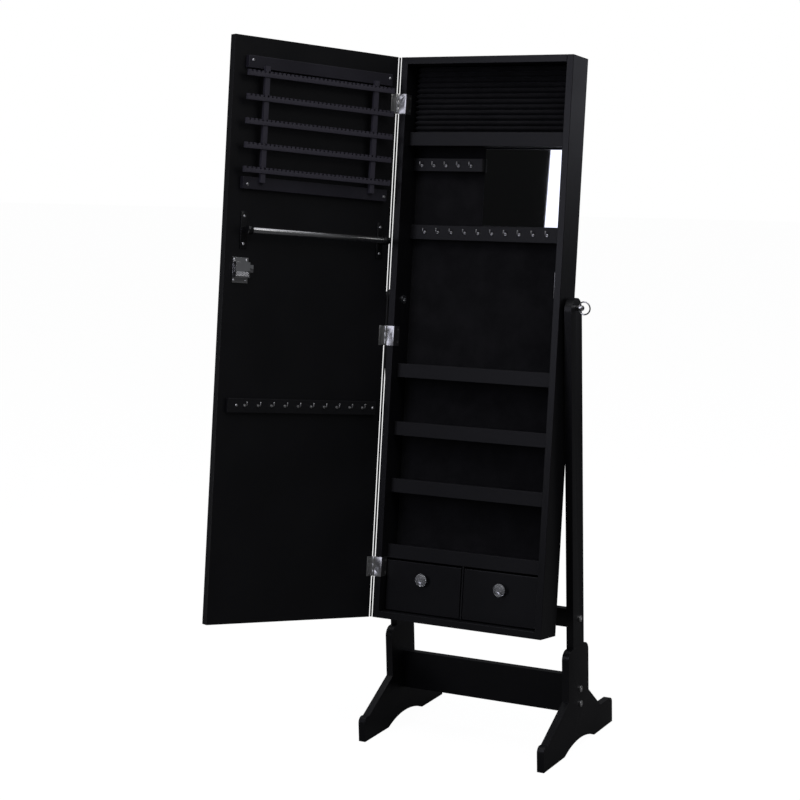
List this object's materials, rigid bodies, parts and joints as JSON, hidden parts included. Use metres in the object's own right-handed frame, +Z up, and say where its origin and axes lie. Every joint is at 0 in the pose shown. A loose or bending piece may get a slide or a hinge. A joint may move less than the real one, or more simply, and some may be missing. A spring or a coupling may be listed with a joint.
{
  "type": "jewelry armoire",
  "caption": "Free-standing mirror armoire: a shallow lockable jewelry cabinet with shelves, drawers and hooks, tilting between two posts on arched feet.",
  "frame": {"origin": "on the floor, midway between the two feet, straight under the pivot axis", "axes": "+Z up, -Y the cabinet's front, +X the viewer's right; the pivot screws lie along X"},
  "size_m": [0.6511, 0.6791, 1.5138],
  "materials": {
    "painted_wood": "satin black paint on fibreboard",
    "inner_wood": "satin charcoal paint on fibreboard",
    "tray_wood": "matt black paint",
    "comb_plastic": "satin grey moulded plastic",
    "bright_steel": "bright nickel plate",
    "chrome_metal": "polished chrome plate",
    "spacer_plastic": "matt black plastic",
    "bracket_plastic": "black moulded plastic",
    "velvet": "short black velvet pile",
    "mirror_glass": "silvered float glass",
    "cut_glass": "cut clear glass on a plated foot"
  },
  "bodies": {
    "stand": {"post_left": "painted_wood", "post_right": "painted_wood", "foot_left": "painted_wood", "foot_right": "painted_wood", "stretcher_board": "painted_wood", "rear_rail": "painted_wood", "stand_bolts": "bright_steel", "barrel_nuts": "bright_steel", "pivot_spacers": "spacer_plastic"},
    "cabinet": {"pivot_inserts": "bright_steel", "side_panel_left": "painted_wood", "side_panel_right": "painted_wood", "top_panel": "painted_wood", "bottom_panel": "painted_wood", "back_panel": "painted_wood", "back_lining": "velvet", "ring_cushion": "velvet", "ring_shelf_board": "inner_wood", "ring_shelf_lip": "inner_wood", "vanity_mirror": "mirror_glass", "upper_hook_bar": "inner_wood", "lower_hook_bar": "inner_wood", "cabinet_hooks": "bright_steel", "shelf_board_1": "inner_wood", "shelf_board_2": "inner_wood", "shelf_board_3": "inner_wood", "shelf_board_4": "inner_wood", "shelf_lip_1": "inner_wood", "shelf_lip_2": "inner_wood", "shelf_lip_3": "inner_wood", "shelf_lip_4": "inner_wood", "drawer_divider": "inner_wood", "hinge_frame_leaves": "bright_steel", "strike_plate": "bright_steel", "cabinet_screws": "bright_steel", "hinge_pins": "bright_steel"},
    "door": {"door_panel": "painted_wood", "door_mirror": "mirror_glass", "hinge_door_leaves": "bright_steel", "earring_cleats": "inner_wood", "earring_bars": "comb_plastic", "earring_strips": "comb_plastic", "rod_brackets": "bracket_plastic", "scarf_rod": "bright_steel", "lock_housing": "chrome_metal", "door_hook_bar": "inner_wood", "door_hooks": "bright_steel", "door_screws": "bright_steel"},
    "drawer_left": {"drawer_front_left": "inner_wood", "drawer_tray_left": "tray_wood", "knob_left": "cut_glass"},
    "drawer_right": {"drawer_front_right": "inner_wood", "drawer_tray_right": "tray_wood", "knob_right": "cut_glass"},
    "pivot_screw_left": {"pivot_screw_left": "chrome_metal", "pull_ring_left": "chrome_metal"},
    "pivot_screw_right": {"pivot_screw_right": "chrome_metal", "pull_ring_right": "chrome_metal"},
    "lock_plug": {"lock_plug": "chrome_metal"},
    "lock_bolt": {"lock_bolt": "chrome_metal"}
  },
  "joints": [
    {"name": "cabinet_tilt", "type": "hinge", "parent": "stand", "child": "cabinet", "pos_m": [0, 0, 0.9444], "axis": [-1, 0, 0], "range_deg": [-5.3, 11]},
    {"name": "door_swing", "type": "hinge", "parent": "cabinet", "child": "door", "pos_m": [-0.2033, -0.05102, 0.87136], "axis": [0, -0.1535, -0.9881], "range_deg": [-116.2, 0]},
    {"name": "drawer_left_slide", "type": "slide", "parent": "cabinet", "child": "drawer_left", "axis": [0, -0.9881, 0.1535], "range_m": [0, 0.034]},
    {"name": "drawer_right_slide", "type": "slide", "parent": "cabinet", "child": "drawer_right", "axis": [0, -0.9881, 0.1535], "range_m": [0, 0.034]},
    {"name": "pivot_screw_left_turn", "type": "hinge", "parent": "stand", "child": "pivot_screw_left", "pos_m": [-0.229, 0, 0.9444], "axis": [-1, 0, 0], "continuous": true},
    {"name": "pivot_screw_right_turn", "type": "hinge", "parent": "stand", "child": "pivot_screw_right", "pos_m": [0.229, 0, 0.9444], "axis": [1, 0, 0], "continuous": true},
    {"name": "lock_plug_turn", "type": "hinge", "parent": "door", "child": "lock_plug", "pos_m": [-0.36985, -0.36469, 1.03951], "axis": [0.8973, -0.4363, 0.0678], "range_deg": [0, 90]},
    {"name": "lock_bolt_slide", "type": "slide", "parent": "door", "child": "lock_bolt", "axis": [-0.4415, -0.8866, 0.1377], "range_m": [0, 0.01]}
  ],
  "couplings": [
    {"joint": "lock_plug_turn", "follows": "lock_bolt_slide", "rad_per_m": 157.08}
  ]
}
